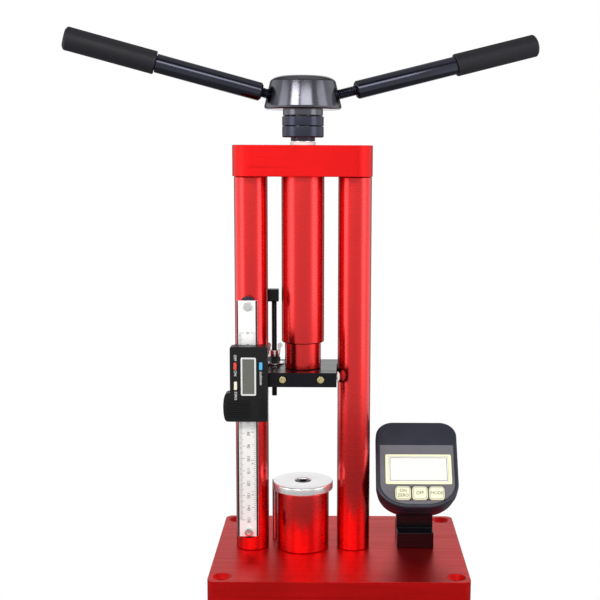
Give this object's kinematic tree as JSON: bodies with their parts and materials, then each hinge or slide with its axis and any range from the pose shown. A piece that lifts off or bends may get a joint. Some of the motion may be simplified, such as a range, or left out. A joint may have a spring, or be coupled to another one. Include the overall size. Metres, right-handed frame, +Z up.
{
  "type": "bench screw press",
  "caption": "Bench-top screw press with a two-handled hub, twin columns, a ram with height scale and depth stop, and a load-cell platform with a tilted display.",
  "frame": {"origin": "on the underside of the base, straight below the ram's axis", "axes": "+Z up along the ram, +X to the right towards the load display, +Y to the rear"},
  "size_m": [0.3657, 0.1533, 0.4309],
  "materials": {
    "red_anodised": "red anodised aluminium, brushed along its length",
    "black_gloss": "gloss black anodised aluminium",
    "black_anodised": "satin black anodised",
    "black_grip": "matte, finely knurled",
    "bright_steel": "ground and bright",
    "bright_aluminium": "turned, bright",
    "dark_steel": "black oxide",
    "zinc_yellow": "yellow zinc plated",
    "bronze": "machined bearing bronze",
    "white_plastic": "off-white low-friction plastic",
    "charcoal_plastic": "fine moulded texture",
    "slate_plastic": "satin moulded",
    "panel_grey": "printed overlay film",
    "pale_yellow": "soft keys",
    "lcd_glass": "clear pane over a grey-green display",
    "key_red": "soft key",
    "key_cream": "soft key",
    "key_blue": "soft key",
    "board_green": "circuit board"
  },
  "bodies": {
    "root": {"base_plate": "red_anodised", "column_left": "red_anodised", "column_right": "red_anodised", "column_screw_left": "dark_steel", "column_screw_right": "dark_steel", "top_plate": "red_anodised", "guide_sleeve": "red_anodised", "thrust_bearing": "bright_steel", "top_bushing": "white_plastic", "load_cell_cup": "red_anodised", "load_cell": "bright_steel", "load_platform": "bright_aluminium", "platform_screw": "dark_steel", "stop_post": "bright_steel", "scale_beam": "bright_steel", "scale_spacer_bottom": "black_anodised", "scale_spacer_top": "black_anodised", "scale_screw_bottom": "dark_steel", "scale_screw_top": "dark_steel", "display_back_shell": "slate_plastic", "display_front_shell": "slate_plastic", "display_panel": "panel_grey", "display_lcd": "lcd_glass", "display_board": "board_green", "display_battery": "slate_plastic", "display_battery_cover": "slate_plastic", "display_bracket": "black_anodised"},
    "spindle": {"lead_screw": "bright_steel", "lock_collar_lower": "black_anodised", "lock_collar_upper": "black_anodised", "hub": "black_gloss", "hub_bolt": "dark_steel", "handle_bar_right": "black_gloss", "grip_right": "black_grip", "handle_bar_left": "black_gloss", "grip_left": "black_grip"},
    "carriage": {"ram": "red_anodised", "ram_nut": "bronze", "press_foot": "black_anodised", "scale_arm": "black_anodised", "arm_screw_left": "zinc_yellow", "arm_screw_right": "zinc_yellow", "guide_button_left": "white_plastic", "guide_button_right": "white_plastic", "stop_washer": "bright_steel", "stop_lock_nut": "dark_steel", "slider_frame": "dark_steel", "slider_housing": "charcoal_plastic", "slider_lcd_frame": "bright_aluminium", "slider_lcd_board": "lcd_glass", "slider_battery_cover": "charcoal_plastic"},
    "stop": {"stop_rod": "dark_steel", "stop_rod_head": "black_anodised"},
    "wing": {"wing_nut": "bright_steel"},
    "slider_key_zero": {"slider_key_zero": "key_red"},
    "slider_key_power": {"slider_key_power": "key_cream"},
    "slider_key_units": {"slider_key_units": "key_blue"},
    "display_key_left": {"display_key_left": "pale_yellow"},
    "display_key_middle": {"display_key_middle": "pale_yellow"},
    "display_key_right": {"display_key_right": "pale_yellow"}
  },
  "joints": [
    {"name": "spindle_turn", "type": "hinge", "parent": "root", "child": "spindle", "pos_m": [0, 0, 0.374], "axis": [0, 0, 1], "range_deg": [-2880, 1080]},
    {"name": "carriage_slide", "type": "slide", "parent": "root", "child": "carriage", "axis": [0, 0, 1], "range_m": [-0.0481, 0.0181]},
    {"name": "stop_slide", "type": "slide", "parent": "carriage", "child": "stop", "axis": [0, 0, 1], "range_m": [-0.014, 0.012]},
    {"name": "wing_turn", "type": "hinge", "parent": "carriage", "child": "wing", "pos_m": [-0.0237, 0.0152, 0.1726], "axis": [0, 0, 1], "continuous": true},
    {"name": "slider_key_zero_press", "type": "slide", "parent": "carriage", "child": "slider_key_zero", "axis": [0, 1, 0], "range_m": [0, 0.0006], "stiffness_N_per_m": 600, "springref_m": -0.0006},
    {"name": "slider_key_power_press", "type": "slide", "parent": "carriage", "child": "slider_key_power", "axis": [0, 1, 0], "range_m": [0, 0.0006], "stiffness_N_per_m": 600, "springref_m": -0.0006},
    {"name": "slider_key_units_press", "type": "slide", "parent": "carriage", "child": "slider_key_units", "axis": [0, 1, 0], "range_m": [0, 0.0006], "stiffness_N_per_m": 600, "springref_m": -0.0006},
    {"name": "display_key_left_press", "type": "slide", "parent": "root", "child": "display_key_left", "axis": [0, 0.7986, -0.6018], "range_m": [0, 0.001], "stiffness_N_per_m": 600, "springref_m": -0.0006},
    {"name": "display_key_middle_press", "type": "slide", "parent": "root", "child": "display_key_middle", "axis": [0, 0.7986, -0.6018], "range_m": [0, 0.001], "stiffness_N_per_m": 600, "springref_m": -0.0006},
    {"name": "display_key_right_press", "type": "slide", "parent": "root", "child": "display_key_right", "axis": [0, 0.7986, -0.6018], "range_m": [0, 0.001], "stiffness_N_per_m": 600, "springref_m": -0.0006}
  ],
  "couplings": [
    {"joint": "carriage_slide", "follows": "spindle_turn", "m_per_rad": 0.00095493}
  ]
}
